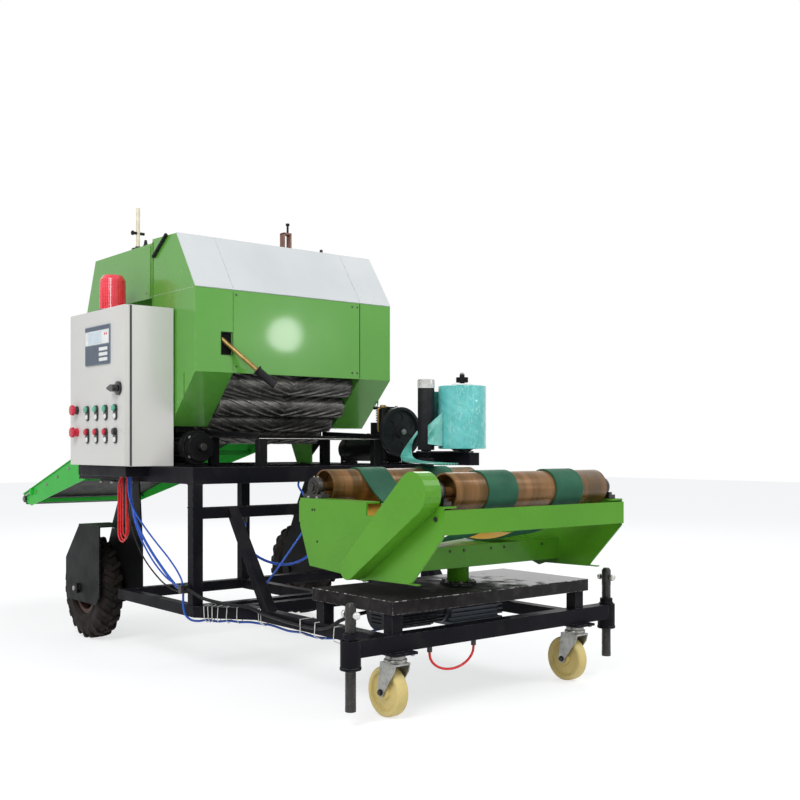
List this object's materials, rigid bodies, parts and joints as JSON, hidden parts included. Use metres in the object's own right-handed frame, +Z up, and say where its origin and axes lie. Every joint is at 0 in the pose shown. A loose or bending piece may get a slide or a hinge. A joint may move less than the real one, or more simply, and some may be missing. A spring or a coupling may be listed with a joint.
{
  "type": "mini silage round baler with bale wrapper",
  "caption": "Wheeled frame with feed conveyor, round bale chamber with lifting gate, control cabinet, film stand and a turning bale wrapping table.",
  "frame": {"origin": "on the ground under the middle of the machine's box, hoses left out", "axes": "+X from the feed conveyor to the wrapping table, +Y to the film stand's side, +Z up"},
  "size_m": [3.4968, 1.31, 1.781],
  "materials": {
    "frame_black": "satin black paint on square tube",
    "bracket_black": "black painted plate",
    "tyre": "dark rubber with a brown dust",
    "rim": "dark painted pressed steel",
    "deck": "worn black plate",
    "cast_grey": "grey cast housing",
    "motor_dark": "dark blue grey motor paint",
    "jack_steel": "oiled black screw",
    "zinc": "zinc plated pressed steel",
    "caster_tread": "cream nylon",
    "green": "glossy green paint",
    "cover_green": "glossy green paint",
    "roller_copper": "bronze coloured steel tube",
    "belt_green": "green face over a yellow carcass",
    "drum_steel": "bare ribbed steel, oiled",
    "pale_panel": "glossy pale panel",
    "brass": "dull brass",
    "cabinet_grey": "warm light grey powder coat",
    "controls": "switches and display",
    "beacon_red": "ribbed red lens",
    "conveyor_green": "bright green paint",
    "belt_black": "black conveyor belt",
    "machine_black": "black paint",
    "film": "stretched teal film",
    "hose_blue": "blue air hose",
    "hose_red": "red air hose",
    "cable": "black cable sheath"
  },
  "bodies": {
    "root": {"top_frame": "frame_black", "front_posts": "frame_black", "lower_frame": "frame_black", "wheel_brackets": "bracket_black", "wrapper_base": "frame_black", "link_tubes": "frame_black", "platform": "deck", "gearbox": "cast_grey", "table_motor": "motor_dark", "chamber_rear": "cover_green", "rear_drum": "drum_steel", "chamber_cradle": "machine_black", "cabinet": "cabinet_grey", "beacon": "beacon_red", "cabinet_support": "frame_black", "conveyor_frame": "conveyor_green", "conveyor_belt": "belt_black", "baler_motor": "motor_dark", "compressor": "machine_black", "film_stand": "machine_black", "film_tail": "film", "top_fittings": "brass", "hose_fittings": "brass", "hose_blue": "hose_blue", "hose_loop": "hose_blue", "coil_red": "hose_red", "cable_black": "cable", "hose_front": "hose_red"},
    "wheel_near": {"tyre_near": "tyre", "rim_near": "rim"},
    "wheel_far": {"tyre_far": "tyre", "rim_far": "rim"},
    "jack_screw_near": {"jack_near": "jack_steel"},
    "jack_screw_far": {"jack_far": "jack_steel"},
    "caster_near": {"caster_fork_near": "zinc"},
    "caster_roll_near": {"caster_wheel_near": "caster_tread"},
    "caster_far": {"caster_fork_far": "zinc"},
    "caster_roll_far": {"caster_wheel_far": "caster_tread"},
    "table": {"table_frame": "green", "chain_guard": "green", "table_bearings": "cast_grey", "table_belts": "belt_green"},
    "table_roller_front": {"roller_front": "roller_copper"},
    "table_roller_rear": {"roller_rear": "roller_copper"},
    "gate": {"gate_shell": "cover_green", "gate_top": "pale_panel", "gate_drum": "drum_steel", "gate_lever": "brass"},
    "door": {"cabinet_door": "cabinet_grey", "cabinet_controls": "controls"},
    "flywheel": {"compressor_wheel": "machine_black"},
    "film": {"film_roll": "film"},
    "stretcher": {"stretch_roller": "machine_black"}
  },
  "joints": [
    {"name": "wheel_near_spin", "type": "hinge", "parent": "root", "child": "wheel_near", "pos_m": [-0.3185, -0.476, 0.213], "axis": [0, 1, 0], "continuous": true},
    {"name": "wheel_far_spin", "type": "hinge", "parent": "root", "child": "wheel_far", "pos_m": [-0.3185, 0.574, 0.213], "axis": [0, 1, 0], "continuous": true},
    {"name": "caster_near_swivel", "type": "hinge", "parent": "root", "child": "caster_near", "pos_m": [1.5365, -0.346, 0.18], "axis": [0, 0, 1], "continuous": true},
    {"name": "caster_near_spin", "type": "hinge", "parent": "caster_near", "child": "caster_roll_near", "pos_m": [1.5015, -0.346, 0.075], "axis": [0, 1, 0], "continuous": true},
    {"name": "caster_far_swivel", "type": "hinge", "parent": "root", "child": "caster_far", "pos_m": [1.5365, 0.444, 0.18], "axis": [0, 0, 1], "continuous": true},
    {"name": "caster_far_spin", "type": "hinge", "parent": "caster_far", "child": "caster_roll_far", "pos_m": [1.5015, 0.444, 0.075], "axis": [0, 1, 0], "continuous": true},
    {"name": "jack_near_lift", "type": "slide", "parent": "root", "child": "jack_screw_near", "axis": [0, 0, 1], "range_m": [-0.04, 0.1]},
    {"name": "jack_far_lift", "type": "slide", "parent": "root", "child": "jack_screw_far", "axis": [0, 0, 1], "range_m": [-0.06, 0.09]},
    {"name": "table_turn", "type": "hinge", "parent": "root", "child": "table", "pos_m": [1.3775, 0.049, 0.4], "axis": [0, 0, 1], "continuous": true},
    {"name": "roller_front_spin", "type": "hinge", "parent": "table", "child": "table_roller_front", "pos_m": [1.6755, 0.049, 0.669], "axis": [0, 1, 0], "continuous": true},
    {"name": "roller_rear_spin", "type": "hinge", "parent": "table", "child": "table_roller_rear", "pos_m": [1.0795, 0.049, 0.669], "axis": [0, 1, 0], "continuous": true},
    {"name": "gate_lift", "type": "hinge", "parent": "root", "child": "gate", "pos_m": [0.0945, 0.049, 1.632], "axis": [0, -1, 0], "range_deg": [0, 60]},
    {"name": "door_swing", "type": "hinge", "parent": "root", "child": "door", "pos_m": [-0.2165, -0.595, 1.028], "axis": [0, 0, -1], "range_deg": [0, 110]},
    {"name": "flywheel_spin", "type": "hinge", "parent": "root", "child": "flywheel", "pos_m": [0.6215, 0.422, 0.861], "axis": [1, 0, 0], "continuous": true},
    {"name": "film_spin", "type": "hinge", "parent": "root", "child": "film", "pos_m": [0.8595, 0.546, 0.9], "axis": [0, 0, 1], "continuous": true},
    {"name": "stretcher_spin", "type": "hinge", "parent": "root", "child": "stretcher", "pos_m": [0.7915, 0.416, 0.9], "axis": [0, 0, 1], "continuous": true}
  ],
  "couplings": [
    {"joint": "roller_rear_spin", "follows": "roller_front_spin", "ratio": 1}
  ]
}
